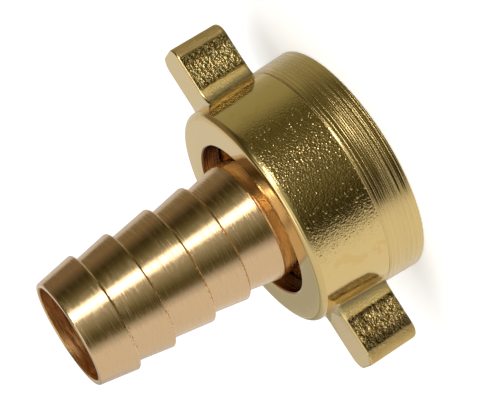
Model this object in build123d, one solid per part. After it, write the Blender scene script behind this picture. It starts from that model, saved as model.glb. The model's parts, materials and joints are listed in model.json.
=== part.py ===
from build123d import *
import math
import os

# A hose tail with a loose wing nut, in brass, for joining a flexible hose to a threaded pipe or tap.
# Three pieces: the turned tail with its barbs and collar, the forged nut that turns freely on it,
# and the flat rubber washer that lies in the nut under the collar and keeps the nut on the tail.
#
# Frame, in millimetres: the origin is the centre of the nut's open rim, which the fitting stands on.
# +Z runs up the tail to its open tip. The nut's wings lie along +X and -X. Angles are in degrees.

# ---- Driving dimensions ----

# Parallel pipe thread inside the nut, nominal 1 inch with 11 turns to the inch.
thread_minor_radius = 15.15
thread_depth = 1.47
thread_length = 9.45
mouth_relief = 0.35          # the mouth's lead-in starts this much outside the thread's major radius
groove_relief = 0.30         # the groove behind the thread is cut this much deeper than the thread

# Flat sealing washer.
washer_overlap = 0.70        # how far the washer's rim reaches out over the last turn of the thread
washer_thickness = 3.0
washer_bore_step = 1.2       # the washer's hole is this much wider than the tail's bore, in radius

# Tail: the collar that is trapped in the nut, then the neck, a smooth cone and the barbs.
bore_radius = 8.3
bore_edge = 0.20             # chamfer at each end of the bore
collar_clearance = 0.25      # the collar passes through the thread's crests with this much to spare
collar_thickness = 3.0
collar_chamfer = 0.4
neck_radius = 10.2
neck_length = 4.2
shoulder_rise = 0.2          # the smooth cone's wide end stands this much above the neck
shoulder_round = 0.35
shoulder_length = 6.55
root_wall = 0.8              # brass left over the bore at the narrow end of each cone
barb_height = 1.2            # crest above root, in radius
barb_lengths = (6.6, 7.4, 6.5, 6.7)   # from the nut towards the tip; one is a little longer
crest_round = 0.30
tip_round = 0.30

# Nut: a forged cup with a plate that catches the collar, and two wings for turning it by hand.
nut_wall = 2.98              # over the thread's groove, measured at the open rim
nut_draft = 2.45             # the forged skin narrows towards the plate by this angle
end_play = 0.4               # how far the tail can lift inside the nut
plate_thickness = 3.2
hole_clearance = 3.35        # gap between the neck and the hole in the plate, in radius
hole_chamfer = 0.2
front_round = 1.1            # edge between the plate and the outside
rim_round = 0.25             # edge at the open rim
band_length = 6.6            # turned band at the rim
band_rise = 0.08             # the band stands this much proud of the forged skin
wing_reach = 9.6             # from the skin at the rim to the wing's end, in radius
wing_band_gap = 0.15         # the turned band stops this much short of the wings
wing_thickness = 8.2
wing_setback = 3.05          # from the plate's face to the wing's front
wing_root_fillet = 3.0
wing_root_sink = 0.15        # the root's fillets run this far under the skin, so they meet it cleanly
wing_end_round = 2.3
wing_back_round = 0.8        # edges on the side of the rim, as forged
wing_front_round = 0.25      # edges on the side of the plate, as faced

# ---- Sizes that follow from them ----

thread_major_radius = thread_minor_radius + thread_depth
mouth_radius = thread_major_radius + mouth_relief
groove_radius = thread_major_radius + groove_relief
rim_radius = groove_radius + nut_wall
hole_radius = neck_radius + hole_clearance
shoulder_radius = neck_radius + shoulder_rise

washer_bottom = thread_length
collar_bottom = washer_bottom + washer_thickness
neck_bottom = collar_bottom + collar_thickness
plate_bottom = neck_bottom + end_play
nut_height = plate_bottom + plate_thickness
wing_bottom = band_length + wing_band_gap
wing_top = nut_height - wing_setback
shoulder_top = neck_bottom + neck_length
barbs_bottom = shoulder_top + shoulder_length
tip_height = barbs_bottom + sum(barb_lengths)

washer_radius = thread_minor_radius + washer_overlap
washer_bore_radius = bore_radius + washer_bore_step
collar_radius = thread_minor_radius - collar_clearance
root_radius = bore_radius + root_wall
crest_radius = root_radius + barb_height


def turned(points, rounds=()):
    """A solid turned round Z from half a section, given as (radius, height) points.

    Each entry of rounds is a corner of that section and the radius that breaks it.
    """
    section = Plane.XZ * make_face(Polyline(*points, close=True))
    for (radius, height), size in rounds:
        corner = section.vertices().sort_by_distance(Vector(radius, 0, height))[0]
        section = fillet(corner, size)
    return revolve(section, Axis.Z)


def barb_corners():
    """Outline of the barbs, from the smooth cone up to the tip: out at each crest, in to each root."""
    corners = []
    crests = []
    height = barbs_bottom
    for length in barb_lengths:
        corners += [(root_radius, height), (crest_radius, height)]
        crests.append((crest_radius, height))
        height += length
    corners.append((root_radius, height))
    return corners, crests


def make_tail():
    """The tail, turned from bar in one piece: collar, neck, smooth cone and barbs on a plain bore."""
    barbs, crests = barb_corners()
    shoulder = (shoulder_radius, shoulder_top + shoulder_rise)
    tip = (root_radius, tip_height)
    outline = [
        (bore_radius + bore_edge, collar_bottom),
        (collar_radius - collar_chamfer, collar_bottom),
        (collar_radius, collar_bottom + collar_chamfer),
        (collar_radius, neck_bottom - collar_chamfer),
        (collar_radius - collar_chamfer, neck_bottom),
        (neck_radius, neck_bottom),
        (neck_radius, shoulder_top),
        shoulder,
        *barbs,
        (bore_radius + bore_edge, tip_height),
        (bore_radius, tip_height - bore_edge),
        (bore_radius, collar_bottom + bore_edge),
    ]
    rounds = [(crest, crest_round) for crest in crests] + [(tip, tip_round)]
    rounds.append((shoulder, min(shoulder_round, 1.5 * shoulder_rise)))
    return turned(outline, rounds)


def make_washer():
    """The flat washer that the collar presses on, snapped in behind the thread."""
    outline = [
        (washer_bore_radius, washer_bottom),
        (washer_radius, washer_bottom),
        (washer_radius, collar_bottom),
        (washer_bore_radius, collar_bottom),
    ]
    return turned(outline)


def skin_radius(height):
    """Radius of the nut's forged skin at a height above the rim."""
    return rim_radius - height * math.tan(math.radians(nut_draft))


def make_cup():
    """The nut's cup: rim, bore, groove behind the thread, plate with its hole, and the outside."""
    lead_in = mouth_radius - thread_minor_radius
    band_top = band_length - band_rise
    rim_edge = (rim_radius + band_rise, 0)
    front_edge = (skin_radius(nut_height), nut_height)
    outline = [
        (mouth_radius, 0),
        rim_edge,
        (skin_radius(band_top) + band_rise, band_top),
        (skin_radius(band_length), band_length),
        front_edge,
        (hole_radius + hole_chamfer, nut_height),
        (hole_radius, nut_height - hole_chamfer),
        (hole_radius, plate_bottom),
        (groove_radius, plate_bottom),
        (groove_radius, thread_length),
        (thread_minor_radius, thread_length),
        (thread_minor_radius, lead_in),
    ]
    return turned(outline, [(rim_edge, rim_round), (front_edge, front_round)])


def make_wings():
    """Both wings as one slab with a disc between them: flat sides, round ends and filleted roots."""
    disc_radius = skin_radius(wing_top) - wing_root_sink
    bar = RectangleRounded(2 * (rim_radius + wing_reach), wing_thickness, wing_end_round)
    plan = Circle(disc_radius) + bar
    roots = plan.vertices().filter_by(lambda v: abs(v.X) < disc_radius)
    plan = fillet(roots, wing_root_fillet)
    slab = extrude(Plane.XY.offset(wing_bottom) * plan, wing_top - wing_bottom)
    slab = fillet(slab.edges().group_by(Axis.Z)[-1], wing_front_round)
    slab = fillet(slab.edges().group_by(Axis.Z)[0], wing_back_round)
    core = Circle((groove_radius + disc_radius) / 2)
    return slab - extrude(Plane.XY.offset(wing_bottom) * core, wing_top - wing_bottom)


def make_nut():
    """The wing nut, forged in one piece and then bored, threaded and faced."""
    return make_cup() + make_wings()


pieces = {
    "hose_tail": make_tail(),
    "wing_nut": make_nut(),
    "sealing_washer": make_washer(),
}

os.makedirs("parts", exist_ok=True)
for name, piece in pieces.items():
    export_step(piece, f"parts/{name}.step")
    box = piece.bounding_box()
    print(name, "volume", round(piece.volume), "mm3, from", box.min, "to", box.max)
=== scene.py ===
# %% [markdown]
# # A brass hose tail with a loose wing nut
#
# A hose is pushed over the barbs, and the nut is turned by its two wings onto a threaded pipe or tap.
# The solids come from the CAD model. Here they get their finishes, a real screw thread and a small studio.
# Blender works in metres, so a size in millimetres is multiplied by MM.

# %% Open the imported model
import json
import math

import bmesh
import bpy
from mathutils import Matrix, Vector

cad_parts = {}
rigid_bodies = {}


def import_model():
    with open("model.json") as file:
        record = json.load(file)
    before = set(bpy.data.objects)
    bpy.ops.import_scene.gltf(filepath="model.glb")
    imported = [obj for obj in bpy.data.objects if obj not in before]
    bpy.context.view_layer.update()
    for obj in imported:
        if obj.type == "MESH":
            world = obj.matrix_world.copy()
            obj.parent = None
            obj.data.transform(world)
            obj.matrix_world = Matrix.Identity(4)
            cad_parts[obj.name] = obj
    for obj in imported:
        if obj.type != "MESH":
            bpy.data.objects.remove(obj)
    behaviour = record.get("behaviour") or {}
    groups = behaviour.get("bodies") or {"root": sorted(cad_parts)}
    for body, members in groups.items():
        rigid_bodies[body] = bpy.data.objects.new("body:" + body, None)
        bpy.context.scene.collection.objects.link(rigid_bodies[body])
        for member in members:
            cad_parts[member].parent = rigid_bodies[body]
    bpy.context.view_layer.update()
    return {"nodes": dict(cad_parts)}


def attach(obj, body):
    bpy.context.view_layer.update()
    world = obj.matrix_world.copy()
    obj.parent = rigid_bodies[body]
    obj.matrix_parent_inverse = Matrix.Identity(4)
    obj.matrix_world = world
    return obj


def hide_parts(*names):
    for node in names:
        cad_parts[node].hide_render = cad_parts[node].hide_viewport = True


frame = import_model()
MM = 0.001
tail = frame["nodes"]["hose_tail"]
washer = frame["nodes"]["sealing_washer"]

# %% [markdown]
# ## Two helpers for finishes
#
# Colours are picked as sRGB hex values, which is how a screen shows them, and the shader wants linear light.
# A finish is a small network of nodes. One function adds any node with its settings and its links, and two
# short dictionaries hold the settings that come up most: a step with soft ends, and a mix of colours.

# %% Colour and node helpers
SOFT = {"interpolation_type": "SMOOTHSTEP"}      # for MapRange: 0 before one value, 1 after the other
COLOURS = {"data_type": "RGBA"}                  # for Mix


def colour(text):
    """A hex colour such as B08D57, turned from sRGB to the linear light that shaders use."""
    parts = [int(text[i:i + 2], 16) / 255 for i in (0, 2, 4)]
    return [c / 12.92 if c <= 0.04045 else ((c + 0.055) / 1.055) ** 2.4 for c in parts] + [1.0]


def add(tree, kind, sockets=(), **settings):
    """Adds one node. Sockets are values, outputs or nodes to link, for its inputs in order or by name."""
    node = tree.nodes.new("ShaderNode" + kind)
    for name, value in settings.items():
        setattr(node, name, value)
    inputs = node.inputs if isinstance(sockets, dict) else [each for each in node.inputs if each.enabled]
    for key, value in sockets.items() if isinstance(sockets, dict) else enumerate(sockets):
        if isinstance(value, bpy.types.Node):
            value = next(each for each in value.outputs if each.enabled)
        if isinstance(value, bpy.types.NodeSocket):
            tree.links.new(value, inputs[key])
        else:
            inputs[key].default_value = value
    return node


def empty_material(name):
    """A material with nothing in its node tree."""
    material = bpy.data.materials.new(name)
    material.use_nodes = True
    material.node_tree.nodes.clear()
    return material, material.node_tree


print("brass yellow in linear light:", [round(c, 3) for c in colour("E8C695")])

# %% [markdown]
# ## The studio
#
# Bright metal has almost no colour of its own: what the eye sees is the room, tinted by the metal. So the room
# is the first thing to get right. A maker would stand this part on white paper that sweeps up behind it, keep
# the camera's side dark, and let in one narrow strip of light there. The paper gives the broad pale areas, the
# dark side gives the deep bands between them, and the strip gives the long white highlight.
#
# The world carries this picture of the room, by direction, as rings of greys round the part. The part's upright
# sides lean a little downwards or upwards, so they see one of two rings.

# %% Greys of the room
# Each stop is a direction in degrees, measured from +X towards +Y, and the grey there. Greys run between them.
ROOM_LOW = [
    (0, 0.31), (25, 0.35), (38, 0.43), (50, 0.62), (86, 0.58), (100, 0.54), (115, 0.78), (185, 0.82), (203, 0.78),
    (212, 0.66), (218, 0.10), (222, 0.02), (240, 0.03), (258, 0.10), (276, 0.11), (302, 0.11), (336, 0.08),
]
ROOM_HIGH = [
    (0, 0.13), (12, 0.21), (40, 0.20), (50, 0.66), (87, 0.72), (90, 0.45), (92, 0.45), (94, 0.68), (100, 0.34),
    (122, 0.56), (135, 0.70), (205, 0.74), (216, 0.52), (227, 0.13), (238, 0.075), (250, 0.15), (262, 0.28),
    (274, 0.42), (286, 0.60), (300, 0.45), (312, 0.24), (323, 0.13), (334, 0.065), (345, 0.045),
]
# Light in the dark corners has come off brown card and the brass itself. Each tint is the colour at a grey.
LOW_TINTS = [(0.08, (1.0, 0.88, 0.34)), (0.25, (1.0, 0.98, 0.52)), (0.58, (1.0, 1.0, 1.0))]
HIGH_TINTS = [(0.06, (1.0, 0.87, 0.38)), (0.20, (1.0, 1.05, 0.66)), (0.50, (1.0, 1.0, 1.0))]
BROWN_SIDE = (45, (1.0, 0.80, 0.52))    # up to this direction the high ring sees brown card only


def grey_light(grey, tints):
    """The colour of a grey place in the room: brown where it is dark, then olive, then neutral paper."""
    tint = Vector(tints[0][1])
    for (start, _), (end, following) in zip(tints, tints[1:]):
        share = min(1.0, max(0.0, (grey - start) / (end - start)))
        tint = tint.lerp(Vector(following), share)
    return [grey * part for part in tint] + [1.0]


print("the room has", len(ROOM_LOW), "stops low and", len(ROOM_HIGH), "stops high")

# %% [markdown]
# The rings are two colour ramps over one full turn. A point of the world knows its direction, and its angle round
# Z and its rise above level come from that. The low ring ends and the high ring starts a little under level.

# %% Walls of the room
RINGS_MEET = (-9, -3)           # degrees of rise between which the low ring turns into the high one

world = bpy.data.worlds.new("studio")
bpy.context.scene.world = world
world.use_nodes = True
tree = world.node_tree
tree.nodes.clear()
axis = add(tree, "SeparateXYZ", (add(tree, "TexCoord").outputs["Generated"],))
angle = add(tree, "Math", (axis.outputs[1], axis.outputs[0]), operation="ARCTAN2")
degrees = add(tree, "Math", (add(tree, "Math", (angle,), operation="DEGREES"), 360.0, 0.0), operation="WRAP")
turn_share = add(tree, "Math", (degrees, 360.0), operation="DIVIDE")
rise = add(tree, "Math", (add(tree, "Math", (axis.outputs[2],), operation="ARCSINE"),), operation="DEGREES")
rings = []
for stops, tints, card_end in ((ROOM_LOW, LOW_TINTS, 0), (ROOM_HIGH, HIGH_TINTS, BROWN_SIDE[0])):
    ring = add(tree, "ValToRGB", (turn_share,))
    elements = ring.color_ramp.elements
    for place, grey in stops:
        light = grey_light(grey, [(0.0, BROWN_SIDE[1])] if place < card_end else tints)
        if place == 0:
            elements[0].color = elements[1].color = light
        else:
            elements.new(place / 360).color = light
    rings.append(ring)
room = add(tree, "Mix", (add(tree, "MapRange", (rise, *RINGS_MEET), **SOFT), *rings), **COLOURS)
print("walls made of", len(tree.nodes), "nodes")

# %% [markdown]
# Three lights are painted on those walls. The first is the strip, which stands in front of the part, just right
# of the camera. Four soft steps cut it out of the wall, one for each of its edges. It is brightest at its top,
# where the faced plate mirrors it.

# %% Strip light
STRIP = (286, 298)                  # from one side of the strip to the other, in degrees
STRIP_SOFT = 8                      # how far each side fades, in degrees
STRIP_RISE = ((0, 4), (54, 46))     # it fades in over the first pair of rises, and out over the second
STRIP_LIGHT = (5.0, 26.0)           # at its foot and at its top
STRIP_BRIGHTENS = (12, 24)          # rises between which the one turns into the other

sides = [add(tree, "MapRange", (degrees, edge - out, edge + out), **SOFT)
         for edge, out in zip(STRIP, (STRIP_SOFT, -STRIP_SOFT))]
ends = [add(tree, "MapRange", (rise, *pair), **SOFT) for pair in STRIP_RISE]
across = add(tree, "Math", sides, operation="MULTIPLY")
along = add(tree, "Math", ends, operation="MULTIPLY")
on_strip = add(tree, "Math", (across, along), operation="MULTIPLY")
foot, top = [[light] * 3 + [1] for light in STRIP_LIGHT]
strip = add(tree, "Mix", (add(tree, "MapRange", (rise, *STRIP_BRIGHTENS), **SOFT), foot, top), **COLOURS)
room = add(tree, "Mix", (on_strip, room, strip), **COLOURS)
print("strip light at", STRIP, "degrees, brightness", STRIP_LIGHT)

# %% [markdown]
# The second is a wide pale hood over the camera, which brightens what faces up. The third is the ceiling: white
# paper on one side, and a long bright light in front of the part that draws the fine lines along its edges.

# %% Hood and ceiling
HOOD_LIGHT = 0.9
HOOD_RISE = (16, 28)            # it fades in between these rises, in degrees
HOOD_FRONT = (-0.45, -0.75)     # and between these values of the direction's Y, which is -1 straight in front
CEILING = (0.09, 0.70)          # greys: dark towards +X, white paper towards -X
CEILING_TURNS = (0.1, -0.25)    # values of the direction's X between which the one turns into the other
CEILING_RISE = (50, 66)         # the walls end between these rises
TOP_LIGHT = 1.8
TOP_FRONT = (-0.12, -0.3)       # the long light fades in between these values of the direction's Y

hood_edges = [add(tree, "MapRange", (rise, *HOOD_RISE), **SOFT),
              add(tree, "MapRange", (axis.outputs[1], *HOOD_FRONT), **SOFT)]
on_hood = add(tree, "Math", hood_edges, operation="MULTIPLY")
room = add(tree, "Mix", (on_hood, room, [HOOD_LIGHT] * 3 + [1]), **COLOURS)

dark, white = [grey_light(grey, HIGH_TINTS) for grey in CEILING]
to_white = add(tree, "MapRange", (axis.outputs[0], *CEILING_TURNS), **SOFT)
ceiling = add(tree, "Mix", (to_white, dark, white), **COLOURS)
on_top = add(tree, "MapRange", (axis.outputs[1], *TOP_FRONT), **SOFT)
ceiling = add(tree, "Mix", (on_top, ceiling, [TOP_LIGHT] * 3 + [1]), **COLOURS)
overhead = add(tree, "MapRange", (rise, *CEILING_RISE), **SOFT)
room = add(tree, "Mix", (overhead, room, ceiling), **COLOURS)
print("hood of brightness", HOOD_LIGHT, "and top light of", TOP_LIGHT)

# %% [markdown]
# Mirrored rays see the room. The camera sees plain white, and every other ray finds an even grey, so that the
# room's picture doesn't light the floor unevenly.

# %% Who sees what
FILL = 0.7                      # the even grey that lights whatever isn't a mirror

rays = add(tree, "LightPath")
seen = add(tree, "Mix", (rays.outputs["Is Glossy Ray"], [FILL] * 3 + [1], room), **COLOURS)
seen = add(tree, "Mix", (rays.outputs["Is Camera Ray"], seen, [1, 1, 1, 1]), **COLOURS)
background = add(tree, "Background", {"Color": seen})
add(tree, "OutputWorld", {"Surface": background})
print("world", world.name, "has", len(tree.nodes), "nodes")

# %% [markdown]
# The floor is white paper. Camera rays get enough plain white on top of its lit colour to reach paper white,
# and only the soft shadow under the nut falls below it.

# %% Floor
FLOOR_SIZE = 3000
PAPER_LIFT = 0.40               # plain white that the camera sees on top of the lit paper

bm = bmesh.new()
bmesh.ops.create_grid(bm, x_segments=1, y_segments=1, size=FLOOR_SIZE * MM / 2)
floor_mesh = bpy.data.meshes.new("floor")
bm.to_mesh(floor_mesh)
bm.free()
floor = bpy.data.objects.new("floor", floor_mesh)
bpy.context.collection.objects.link(floor)
floor.visible_glossy = False

paper, tree = empty_material("white_paper")
camera_ray = add(tree, "LightPath").outputs["Is Camera Ray"]
lift = add(tree, "Math", (camera_ray, PAPER_LIFT), operation="MULTIPLY")
lit_paper = add(tree, "BsdfDiffuse", {"Color": colour("F4F4F2")})
white = add(tree, "Emission", {"Strength": lift})
add(tree, "OutputMaterial", {"Surface": add(tree, "AddShader", (lit_paper, white))})
floor_mesh.materials.append(paper)
print("floor", FLOOR_SIZE, "mm wide at height 0")

# %% [markdown]
# Two soft boxes give the floor its light and its shadow, and light the rubber: a large one high on the
# camera's side, and a weaker one opposite. The metal gets its light from the room, so it doesn't mirror them.

# %% Soft boxes
def soft_box(name, place, width, power):
    """A square area lamp at a place in millimetres, turned to face the middle of the part."""
    lamp = bpy.data.lights.new(name, "AREA")
    lamp.shape = "SQUARE"
    lamp.size = width * MM
    lamp.energy = power
    holder = bpy.data.objects.new(name, lamp)
    holder.location = Vector(place) * MM
    aim = Vector((0, 0, 25)) * MM - holder.location
    holder.rotation_euler = aim.to_track_quat("-Z", "Y").to_euler()
    holder.visible_camera = False
    holder.visible_glossy = False
    bpy.context.collection.objects.link(holder)


soft_box("soft_box_high", (150, -260, 420), 260, 0.4)
soft_box("soft_box_back", (-260, 200, 360), 300, 0.3)
print("lamps:", [f"{lamp.name} {lamp.energy:.1f} W" for lamp in bpy.data.lights])

# %% [markdown]
# ## The camera
#
# It stands about 0.3 m in front of the part and a little above it, with a long lens, and is rolled so that the
# tail points down to the left. Its matrix is built from its own right, up and backward directions.

# %% Camera
CAMERA_PLACE = (-7.785, -275.910, 97.797)
CAMERA_RIGHT = (-0.53832, -0.21150, -0.81577)
CAMERA_UP = (0.84185, -0.17944, -0.50901)
CAMERA_BACK = (-0.03872, -0.96076, 0.27465)
view = bpy.data.cameras.new("camera")
view.lens = 136.08
view.sensor_width = 36
view.clip_start, view.clip_end = 10 * MM, 10000 * MM
camera = bpy.data.objects.new("camera", view)
roll = Matrix((CAMERA_RIGHT, CAMERA_UP, CAMERA_BACK)).transposed().to_quaternion()
camera.matrix_world = Matrix.Translation(Vector(CAMERA_PLACE) * MM) @ roll.to_matrix().to_4x4()
bpy.context.collection.objects.link(camera)
bpy.context.scene.camera = camera
bpy.context.scene.view_settings.view_transform = "Standard"
print("camera", round(view.lens, 2), "mm lens, at", CAMERA_PLACE)

# %% [markdown]
# ## Turned brass
#
# The tail is cut from brass bar on a lathe. The tool leaves a fine screw of grooves all round, so the surface
# is bright but satin: reflections stay sharp round the part and smear along it. The grooves are about 0.1 mm
# apart, too fine to show here, so they are drawn nearly three times as coarse.
#
# Every brass finish starts from the shaded point in millimetres and its distance from the Z axis, and ends in
# the same bare metal with a bump.

# %% Start and end of every brass finish
BRASS = "EAC697"


def start_finish(name):
    """A new material, with the shaded point in millimetres, its three parts and its distance from the Z axis."""
    material, tree = empty_material(name)
    metres = add(tree, "TexCoord").outputs["Object"]
    point = add(tree, "VectorMath", (metres, [1 / MM] * 3), operation="MULTIPLY").outputs[0]
    level = add(tree, "VectorMath", (point, (1, 1, 0)), operation="MULTIPLY")
    radius = add(tree, "VectorMath", (level,), operation="LENGTH").outputs["Value"]
    parts = add(tree, "SeparateXYZ", (point,))
    return material, tree, point, parts, radius


def end_brass(tree, base, roughness, relief, depth):
    """Bare metal with a bump: base, roughness and relief are nodes or values, and depth is in millimetres."""
    bump = add(tree, "Bump", {"Strength": 1.0, "Distance": depth * MM, "Height": relief})
    brass = add(tree, "BsdfPrincipled", {"Base Color": base, "Metallic": 1.0, "Roughness": roughness, "Normal": bump})
    add(tree, "OutputMaterial", {"Surface": brass})


print("brass", BRASS, "in linear light", [round(c, 3) for c in colour(BRASS)])

# %% [markdown]
# The tail's finish starts with its satin: fine grooves, a slow waviness from the machine, and streaks that are
# smoother or rougher than their neighbours. The bore was drilled and not turned, so it is duller.

# %% Tail: satin
BORE_REACH = 8.45               # inside this radius the tail is bored, not turned
GROOVES = (0.28, 1.1)           # pitches of the grooves and of the waviness
STREAK = 0.22                   # height of a streak along the bar
ROUND_THE_BAR = (14, 14, 1)     # a streak is this many times as long round the bar

tail_brass, tree, point, parts, radius = start_finish("turned_brass_satin")
height = parts.outputs[2]
bored = add(tree, "MapRange", (radius, BORE_REACH + 0.05, BORE_REACH), **SOFT)
fine, broad = [add(tree, "TexNoise", {"W": height, "Scale": 1 / pitch}, noise_dimensions="1D") for pitch in GROOVES]
grooves = add(tree, "Math", (fine, broad), operation="ADD")
stretched = add(tree, "Mapping", {"Vector": point, "Scale": [1 / (STREAK * s) for s in ROUND_THE_BAR]})
streaks = add(tree, "TexNoise", {"Vector": stretched, "Scale": 1.0})
rough = add(tree, "MapRange", (streaks, 0.34, 0.66, 0.05, 0.26))
rough = add(tree, "Math", (bored, 0.17, rough), operation="MULTIPLY_ADD")
print("tail grooves", GROOVES, "mm apart")

# %% [markdown]
# The alloy is the same everywhere, but it doesn't look so. Hairlines left by the tool's edge are a shade paler.
# The neck inside the nut's hole is painted brighter, a painted reflection of the hole's lit wall, and the bore is
# painted a deeper orange, painted shade of the light that bounces inside it.

# %% Tail: colour
NECK_TOP = 19.7                 # below this height the neck stands in the nut's hole
HAIRLINE = 0.17                 # width of a hairline, which is ten times as long round the bar
HAIRLINE_HEIGHT = 0.3           # against a groove's height of 1

painted_shading_in_hole = add(tree, "MapRange", (height, NECK_TOP + 0.1, NECK_TOP - 0.1), **SOFT)
drawn_out = add(tree, "Mapping", {"Vector": point, "Scale": [1 / (HAIRLINE * s) for s in (10, 10, 1)]})
hairlines = add(tree, "TexNoise", {"Vector": drawn_out, "Scale": 1.0, "Detail": 3.0})
pale = add(tree, "MapRange", (hairlines, 0.54, 0.70), **SOFT)
base = add(tree, "Mix", (pale, colour(BRASS), colour("E4C191")), **COLOURS)
# Painted reflection: the neck inside the nut's hole gets a paler colour for the lit wall it mirrors.
base = add(tree, "Mix", (painted_shading_in_hole, base, colour("FFEBC8")), **COLOURS)
# Painted shade: the bore gets a deeper orange colour for the light that bounces inside it.
base = add(tree, "Mix", (bored, base, colour("E6B678")), **COLOURS)
print("hairlines", HAIRLINE, "mm wide")

# %% [markdown]
# The crests of the barbs pick up small brown nicks when the tails are tumbled together in a bin. A nick is a
# chip of a coarse noise that lies within half a millimetre of a crest. It is cut into the relief as well.

# %% Tail: nicks at the crests
CREST_HEIGHTS = (26.2, 32.8, 40.2, 46.7)
CHIP = 0.35
CHIP_DEPTH = 1.5                # against a groove's height of 1
CHIP_BROWN = 0.6                # how much of the metal's colour the brown covers

to_crests = [add(tree, "Math", (add(tree, "Math", (height, crest), operation="SUBTRACT"),), operation="ABSOLUTE")
             for crest in CREST_HEIGHTS]
nearest = to_crests[0]
for other in to_crests[1:]:
    nearest = add(tree, "Math", (nearest, other), operation="MINIMUM")
by_crest = add(tree, "MapRange", (nearest, 0.6, 0.1), **SOFT)
chips = add(tree, "TexNoise", {"Vector": point, "Scale": 1 / CHIP, "Detail": 3.0})
nicks = add(tree, "Math", (add(tree, "MapRange", (chips, 0.56, 0.64), **SOFT), by_crest), operation="MULTIPLY")
brown = add(tree, "Math", (nicks, CHIP_BROWN), operation="MULTIPLY")
base = add(tree, "Mix", (brown, base, colour("7A5528")), **COLOURS)
relief = add(tree, "Math", (hairlines, HAIRLINE_HEIGHT, grooves), operation="MULTIPLY_ADD")
relief = add(tree, "Math", (nicks, -CHIP_DEPTH, relief), operation="MULTIPLY_ADD")
end_brass(tree, base, rough, relief, 0.014)
tail.material_slots[0].material = tail_brass
print("tail is", tail.material_slots[0].material.name, "with", len(tree.nodes), "nodes")

# %% [markdown]
# ## Forged brass
#
# The nut is stamped hot between two dies. The dies leave a skin like fine orange peel that sparkles, and
# pickling leaves it a shade greener than a cut face. The grain is 0.3 to 0.6 mm across and stands a few
# hundredths of a millimetre high. Beside the wings, where the trimming tool has rubbed, the skin is smoother,
# and the middle of each wing's flat is the roughest of all.
#
# So the finish first works out where on the nut a point is: on the cup's skin, on a wing, on a wing's rough
# flat, or on the narrow edge beside a wing's faced front.

# %% Places on the nut
FORGED = "E8CA89"
RIM_RADIUS = 19.9               # of the forged skin, carried down to the open rim
SKIN_TAPER = 0.0428             # how much that radius shrinks with each millimetre of height
SKIN_FADES = (13.5, 9.5)        # the grain fades beside the wings, between these distances along X
FRONT_ROUND = (18.1, 17.7)      # and at the round beside the plate, between these heights
WING_STARTS = (18.0, 18.6)      # out from the axis
WING_ROUGH = (21.4, 27.3)       # the rough middle of a wing's flat, out from the axis
WING_EDGE = (15.68, 15.78)      # the narrow edge beside a wing's faced front, in height

skin_brass, tree, point, parts, radius = start_finish("forged_brass_skin")
height = parts.outputs[2]
out = add(tree, "Math", (parts.outputs[0],), operation="ABSOLUTE")
on_skin = add(tree, "Math", (add(tree, "MapRange", (out, *SKIN_FADES), **SOFT),
                             add(tree, "MapRange", (height, *FRONT_ROUND), **SOFT)), operation="MULTIPLY")
on_wing = add(tree, "MapRange", (out, *WING_STARTS), **SOFT)
edge = add(tree, "Math", (add(tree, "MapRange", (height, *WING_EDGE), **SOFT), on_wing), operation="MULTIPLY")
flat_ends = [add(tree, "MapRange", (out, end - soft, end + soft), **SOFT)
             for end, soft in zip(WING_ROUGH, (0.3, -0.3))]
on_flat = add(tree, "Math", flat_ends, operation="MULTIPLY")
not_edge = add(tree, "Math", (1.0, edge), operation="SUBTRACT")
on_flat = add(tree, "Math", (on_flat, not_edge), operation="MULTIPLY")
skin = add(tree, "Math", (height, -SKIN_TAPER, RIM_RADIUS), operation="MULTIPLY_ADD")
above_skin = add(tree, "Math", (radius, skin), operation="SUBTRACT")
proud = add(tree, "MapRange", (above_skin, 0.03, 0.3), **SOFT)
print("rough flats from", WING_ROUGH[0], "to", WING_ROUGH[1], "mm out from the axis")

# %% [markdown]
# The relief is three patterns. Fine noise and separate pimples, each a soft bump in the middle of its own cell,
# cover the skin. Coarser blobs cover the flats of the wings, where the die was worn. The rest of a wing has only
# the fine grain.

# %% Grain of the forging
GRAIN = 0.33
PIMPLE_SPACING = 0.46
BLOB = 0.43
FINE_HEIGHT, SIDE_HEIGHT, BLOB_HEIGHT = 1.3, 2.6, 9.0       # against a pimple's height of 1

cells = add(tree, "TexVoronoi", {"Vector": point, "Scale": 1 / PIMPLE_SPACING})
tall = add(tree, "SeparateColor", (cells.outputs["Color"],)).outputs[0]
pimples = add(tree, "Math", (add(tree, "MapRange", (cells.outputs["Distance"], 0.5, 0.0), **SOFT),
                             add(tree, "MapRange", (tall, 0.3, 0.9), **SOFT)), operation="MULTIPLY")
fine = add(tree, "TexNoise", {"Vector": point, "Scale": 1 / GRAIN, "Detail": 3.0})
relief = add(tree, "Math", (fine, FINE_HEIGHT, pimples), operation="MULTIPLY_ADD")
fade = add(tree, "Math", (on_skin, 0.92, 0.08), operation="MULTIPLY_ADD")
relief = add(tree, "Math", (relief, fade), operation="MULTIPLY")

blobs = add(tree, "TexNoise", {"Vector": point, "Scale": 1 / BLOB, "Detail": 1.5})
blobs = add(tree, "Math", (blobs, on_flat), operation="MULTIPLY")
relief = add(tree, "Math", (blobs, BLOB_HEIGHT, relief), operation="MULTIPLY_ADD")
on_sides = add(tree, "Math", (on_wing, edge), operation="SUBTRACT")
side_grain = add(tree, "Math", (fine, on_sides), operation="MULTIPLY")
relief = add(tree, "Math", (side_grain, SIDE_HEIGHT, relief), operation="MULTIPLY_ADD")
print("grain", GRAIN, "mm on the skin and", BLOB, "mm on the wings' flats")

# %% [markdown]
# Colour follows the same places. On the cup, pits hold oxide and are browner, and a few large faint stains lie
# beside the wings. A wing's root is painted gold, a painted highlight along its fillet, and its foot, where the
# root meets the skin, is painted dull, as painted shade in that crease.

# %% Colour of the cup and the roots
PIT_OXIDE = 0.35                # how much of a pit the oxide covers
STAIN = 3.0                     # size of a stain
STAINS_START = (10, 13)         # out from the axis
STAIN_SHARE = 0.22
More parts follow.
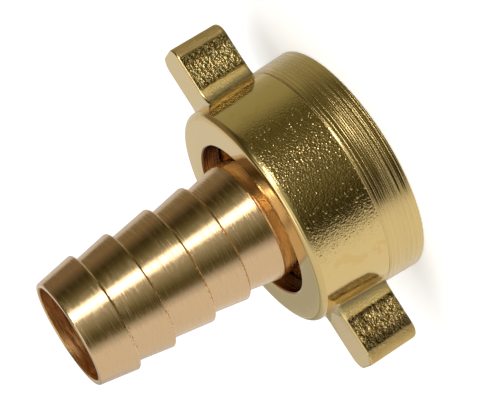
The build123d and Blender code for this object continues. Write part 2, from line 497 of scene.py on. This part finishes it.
# Next lines: how far the root's painted highlight reaches, and where the painted shade along its foot fades.
ROOT_HIGHLIGHT_ENDS = (21.6, 21.2)        # the rubbed root reaches out to here
SHADED_FOOT = (1.5, 0.3)               # its foot grows duller between these heights above the skin
FOOT_SHADE = 0.9

pit_share = add(tree, "Math", (on_skin, PIT_OXIDE), operation="MULTIPLY")
pits = add(tree, "Math", (add(tree, "MapRange", (fine, 0.50, 0.34), **SOFT), pit_share), operation="MULTIPLY")
base = add(tree, "Mix", (pits, colour(FORGED), colour("AA8A45")), **COLOURS)

clouds = add(tree, "TexNoise", {"Vector": point, "Scale": 1 / STAIN, "Detail": 3.0})
by_wing = add(tree, "MapRange", (out, *STAINS_START, 0.0, STAIN_SHARE))
stains = add(tree, "Math", (add(tree, "MapRange", (clouds, 0.56, 0.66), **SOFT), by_wing), operation="MULTIPLY")
base = add(tree, "Mix", (stains, base, colour("D9A552")), **COLOURS)

# Painted highlight: the root of each wing is painted gold.
root = add(tree, "MapRange", (out, *ROOT_HIGHLIGHT_ENDS), **SOFT)
painted_root_highlight = add(tree, "Math", (proud, root), operation="MULTIPLY")
base = add(tree, "Mix", (painted_root_highlight, base, colour("FFE6A0")), **COLOURS)
# Painted shade: a dull line along the foot of each root, where it meets the skin.
foot_shade_share = add(tree, "MapRange", (above_skin, *SHADED_FOOT, 0.0, FOOT_SHADE))
painted_foot_shade = add(tree, "Math", (proud, foot_shade_share), operation="MULTIPLY")
base = add(tree, "Mix", (painted_foot_shade, base, colour("9C8A62")), **COLOURS)
print("stains", STAIN, "mm across")

# %% [markdown]
# The worn flats are a duller metal in patches, and darker along both ends of the flat.
# The wing towards -X is painted darker than the one towards +X, as painted shade.

# %% Colour of the wings' flats
PATCH = 1.3
BORDER = ((21.7, 22.6), (26.3, 25.1))   # the flat is free of it between these two pairs of distances
BORDER_DARKENING = 0.75

# Painted shade: the wing towards -X is given darker colours than the one towards +X.
which_wing = add(tree, "MapRange", (parts.outputs[0], -1, 1))
patches = add(tree, "TexNoise", {"Vector": point, "Scale": 1 / PATCH})
worn = add(tree, "Math", (on_flat, add(tree, "MapRange", (patches, 0.35, 0.65, 0.1, 1.0))), operation="MULTIPLY")
worn_metal_and_wing_shade = add(tree, "Mix", (which_wing, colour("8A7340"), colour("D6C288")), **COLOURS)
base = add(tree, "Mix", (worn, base, worn_metal_and_wing_shade), **COLOURS)

inner_ends = [add(tree, "MapRange", (out, *pair), **SOFT) for pair in BORDER]
inner = add(tree, "Math", inner_ends, operation="MULTIPLY")
border = add(tree, "Math", (inner, -BORDER_DARKENING, BORDER_DARKENING), operation="MULTIPLY_ADD")
border = add(tree, "Math", (border, on_flat), operation="MULTIPLY")
border_dark = add(tree, "Mix", (which_wing, colour("43361A"), colour("6F5C2E")), **COLOURS)
base = add(tree, "Mix", (border, base, border_dark), **COLOURS)
print("patches on the flats", PATCH, "mm across")

# %% [markdown]
# Last comes how sharply each place mirrors the room. The cup is smooth between its pimples, the matt sides of a
# wing are rough, and the worn flat and the narrow edge are smooth enough to glint.

# %% Roughness of the forging
CUP_ROUGH = 0.13
SIDES_ROUGH = 0.65
FLAT_ROUGH = 0.12

rough = add(tree, "Math", (proud, SIDES_ROUGH - CUP_ROUGH, CUP_ROUGH), operation="MULTIPLY_ADD")
rough = add(tree, "Math", (on_flat, FLAT_ROUGH - SIDES_ROUGH, rough), operation="MULTIPLY_ADD")
rough = add(tree, "Math", (edge, CUP_ROUGH - SIDES_ROUGH, rough), operation="MULTIPLY_ADD")
end_brass(tree, base, rough, relief, 0.05)
print("forged skin has", len(tree.nodes), "nodes")

# %% [markdown]
# ## Cut faces of the nut
#
# After forging, the nut is chucked by its rim. The tool faces the plate and the fronts of the wings in fine
# rings, skims a band at the rim that shows coarser tool lines, and bores the hole, whose wall is painted pale on
# its near side and dark on its far side, as painted light and shade. The thread is cut last, by a chaser, and is
# a plain bright cut. The fine rings are about 0.1 mm apart, too fine to show, and are drawn 0.25 mm apart.

# %% Faced rings and cut thread
FACE_STREAK = 0.2               # width of a streak on a cut face


def ringed_brass(name, base, pitch, depth, roughness):
    """Cut brass with rings of growing radius round Z, and long streaks that follow them."""
    material, tree, point, parts, radius = start_finish(name)
    rings = [add(tree, "TexNoise", {"W": radius, "Scale": 1 / size}, noise_dimensions="1D")
             for size in (pitch, 4 * pitch)]
    stretched = add(tree, "Mapping", {"Vector": point, "Scale": [1 / (FACE_STREAK * s) for s in ROUND_THE_BAR]})
    streaks = add(tree, "TexNoise", {"Vector": stretched, "Scale": 1.0})
    rough = add(tree, "MapRange", (streaks, 0.32, 0.68, *roughness))
    end_brass(tree, colour(base), rough, add(tree, "Math", rings, operation="ADD"), depth)
    return material


faced_brass = ringed_brass("faced_brass", FORGED, 0.25, 0.003, (0.04, 0.08))
cut_thread = ringed_brass("cut_thread_brass", BRASS, 0.3, 0.004, (0.15, 0.25))
print("cut finishes:", faced_brass.name, cut_thread.name)

# %% [markdown]
# The band's tool lines are about 0.15 mm apart on the real nut. Here they are drawn 0.36 mm apart, and only the
# highest of them stand out as ridges, so that a few bright lines show among many faint ones.

# %% Band and hole wall
LINE_PITCH = 0.36
BAND_STREAK = 0.25              # height of a streak, which is 25 times as long round the nut
HOLE_RADIUS = 13.55

band_brass, tree, point, parts, radius = start_finish("turned_band")
lines = add(tree, "TexNoise", {"W": parts.outputs[2], "Scale": 1 / LINE_PITCH, "Detail": 3.0}, noise_dimensions="1D")
ridges = add(tree, "MapRange", (lines, 0.46, 0.62), **SOFT)
stretched = add(tree, "Mapping", {"Vector": point, "Scale": [1 / (BAND_STREAK * s) for s in (25, 25, 1)]})
streaks = add(tree, "TexNoise", {"Vector": stretched, "Scale": 1.0})
rough = add(tree, "MapRange", (streaks, 0.32, 0.68, 0.12, 0.26))
painted_shading_in_hole = add(tree, "MapRange", (radius, HOLE_RADIUS + 0.6, HOLE_RADIUS + 0.3), **SOFT)
# Painted light and shade: the hole's wall is painted pale on its near side, towards -Y, and dark on its far side.
painted_far_side_shade = add(tree, "MapRange", (parts.outputs[1], -2, 1), **SOFT)
wall = add(tree, "Mix", (painted_far_side_shade, colour("FFD9A4"), colour("9A6226")), **COLOURS)
base = add(tree, "Mix", (painted_shading_in_hole, colour(FORGED), wall), **COLOURS)
end_brass(tree, base, rough, add(tree, "Math", (streaks, 0.6, ridges), operation="MULTIPLY_ADD"), 0.03)
print("band lines", LINE_PITCH, "mm apart")

# %% [markdown]
# ## The nut
#
# The CAD nut has a plain bore at the size of the thread's crests. The real one has a screw thread there, which
# shows from below and can't be a pattern, because it is up to 1.5 mm deep. So a copy of the nut stands in for
# it. The copy's loose triangles are merged into one skin, the wall of the bore moves out to the bottom of the
# thread, and the thread is wound inside it as a piece of its own.

# %% Nut body: merge and open the bore
BORE_RADIUS = 15.15
THREAD_ROOT = 16.62
THREAD_WALL = 16.75             # the wall that the thread is wound on
STEP_AT = 6.52                  # where the turned band starts to step down to the forged skin
STEP_FOOT = 6.36                # and where it starts once the step is eased, so that it catches the light
MERGE = 0.002                   # corners nearer than this are one corner
CLOSE = 0.02                    # a corner nearer than this to a place is at that place

nut_mesh = frame["nodes"]["wing_nut"].data.copy()
bm = bmesh.new()
bm.from_mesh(nut_mesh)
bmesh.ops.remove_doubles(bm, verts=bm.verts, dist=MERGE * MM)
for vertex in bm.verts:
    radius = vertex.co.xy.length / MM
    if abs(vertex.co.z / MM - STEP_AT) < CLOSE and radius > THREAD_ROOT:
        vertex.co.z = STEP_FOOT * MM
    elif abs(radius - BORE_RADIUS) < CLOSE:
        vertex.co.xy = vertex.co.xy * (THREAD_WALL / radius)
print("nut merged to", len(bm.verts), "vertices")

# %% [markdown]
# Each face gets its finish from where it lies: the plate and the wings' fronts face up and are faced, the band
# and everything inside the cup are cut, and the rest is as forged.

# %% Nut body: finishes by face
BAND_TOP = 6.6
WING_TOP = 16.0
FACES_UP = 0.97                 # least Z of a faced face's normal

nut_mesh.materials.clear()
for finish in (skin_brass, faced_brass, band_brass):
    nut_mesh.materials.append(finish)
for face in bm.faces:
    middle = face.calc_center_median() / MM
    radius = middle.xy.length
    face.smooth = True
    if face.normal.z > FACES_UP and middle.z > WING_TOP - 0.1:
        face.material_index = 1
    elif middle.z < BAND_TOP and radius > THREAD_ROOT or radius < THREAD_ROOT + 0.5:
        face.material_index = 2
    else:
        face.material_index = 0
bm.to_mesh(nut_mesh)
bm.free()
print("faces by finish:", [sum(face.material_index == i for face in nut_mesh.polygons) for i in range(3)])

# %% [markdown]
# Flat faces should shade flat and rounds should shade round. Edges that turn by more than 32 degrees are sharp,
# and so are the two rings of the band's step, which is what draws the thin bright line there. Normals weighted
# by area then keep the large faces clean.

# %% Nut body: sharp edges
SHARP = 32                      # edges that turn by more are sharp, in degrees
OUTSIDE = 19                    # radius beyond which an edge at those heights belongs to the step

nut_mesh.set_sharp_from_angle(angle=math.radians(SHARP))
for edge in nut_mesh.edges:
    ends = [nut_mesh.vertices[i].co / MM for i in edge.vertices]
    if all(end.xy.length > OUTSIDE and min(abs(end.z - STEP_FOOT), abs(end.z - BAND_TOP)) < CLOSE for end in ends):
        edge.use_edge_sharp = True
nut = bpy.data.objects.new("wing_nut_body", nut_mesh)
bpy.context.collection.objects.link(nut)
normals = nut.modifiers.new("weighted_normals", "WEIGHTED_NORMAL")
normals.keep_sharp = True
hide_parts("wing_nut")
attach(nut, "nut")
print("nut body:", len(nut_mesh.polygons), "faces,", sum(e.use_edge_sharp for e in nut_mesh.edges), "sharp edges")

# %% [markdown]
# ## The thread
#
# A parallel pipe thread with 11 turns to the inch and 55 degrees between its flanks. A half-section of one
# ridge is spun round Z and lifted a little at each step, which winds the screw.

# %% Thread: wind the ridge
THREAD_PITCH = 25.4 / 11
THREAD_START, THREAD_END = 1.15, 8.35     # heights of the ridge's middle at its two ends
STEPS_A_TURN = 72
HALF_RIDGE = ((15.15, 0.12), (15.3, 0.26), (16.62, 0.95), (16.9, 1.05))     # radius, and height above its middle

ridge = [(radius, -height) for radius, height in reversed(HALF_RIDGE)] + list(HALF_RIDGE)
bm = bmesh.new()
corners = [bm.verts.new((radius * MM, 0, (THREAD_START + height) * MM)) for radius, height in ridge]
section = bm.faces.new(corners)
turns = (THREAD_END - THREAD_START) / THREAD_PITCH
steps = round(turns * STEPS_A_TURN)
bmesh.ops.spin(bm, geom=[section], cent=(0, 0, 0), axis=(0, 0, 1), dvec=(0, 0, turns * THREAD_PITCH * MM / steps),
               angle=turns * 2 * math.pi, steps=steps, use_duplicate=False)
print("thread wound", round(turns, 2), "turns in", steps, "steps")

# %% [markdown]
# The lathe then cuts a lead-in at the mouth and a run-out at the top: a 45 degree cone in from each end. Where
# a corner of the ridge stands inside that cone, it is moved out to it, so the ridge fades into the wall.

# %% Thread: lead-in and run-out
LEAD_IN = 1.8                   # below this height the mouth opens out
RUN_OUT = 8.7                   # and above this one the thread fades
SHARP_THREAD = 25

for vertex in bm.verts:
    radius, height = vertex.co.xy.length / MM, vertex.co.z / MM
    least = BORE_RADIUS + max(0.0, LEAD_IN - height, height - RUN_OUT)
    if radius < least:
        vertex.co.xy = vertex.co.xy * (min(least, THREAD_WALL) / radius)
bmesh.ops.recalc_face_normals(bm, faces=bm.faces)
for face in bm.faces:
    face.smooth = True
thread_mesh = bpy.data.meshes.new("nut_thread")
bm.to_mesh(thread_mesh)
bm.free()
thread_mesh.materials.append(cut_thread)
thread_mesh.set_sharp_from_angle(angle=math.radians(SHARP_THREAD))
thread = bpy.data.objects.new("nut_thread", thread_mesh)
bpy.context.collection.objects.link(thread)
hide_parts("wing_nut")
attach(thread, "nut")
heights = [vertex.co.z / MM for vertex in thread_mesh.vertices]
span = [round(height, 2) for height in (min(heights), max(heights))]
print("thread:", len(thread_mesh.polygons), "faces, between heights", span, "mm")

# %% [markdown]
# ## The washer
#
# Black nitrile rubber, cut from sheet: dull, a little dusty, with a faint grain from the calender rolls. It lies
# inside the nut and only shows from below, through the thread.

# %% Rubber washer
DUST = 1.5                      # size of the dusty patches

rubber, tree = empty_material("nitrile_rubber")
point = add(tree, "TexCoord").outputs["Object"]
dust = add(tree, "TexNoise", {"Vector": point, "Scale": 1 / (DUST * MM), "Detail": 5.0})
shade = add(tree, "Mix", (dust, colour("141414"), colour("2E2D2B")), **COLOURS)
bump = add(tree, "Bump", {"Strength": 0.6, "Distance": 0.02 * MM, "Height": dust})
sheet = add(tree, "BsdfPrincipled", {"Base Color": shade, "Roughness": 0.65, "Normal": bump})
add(tree, "OutputMaterial", {"Surface": sheet})
washer.material_slots[0].material = rubber
print("washer is", washer.material_slots[0].material.name)
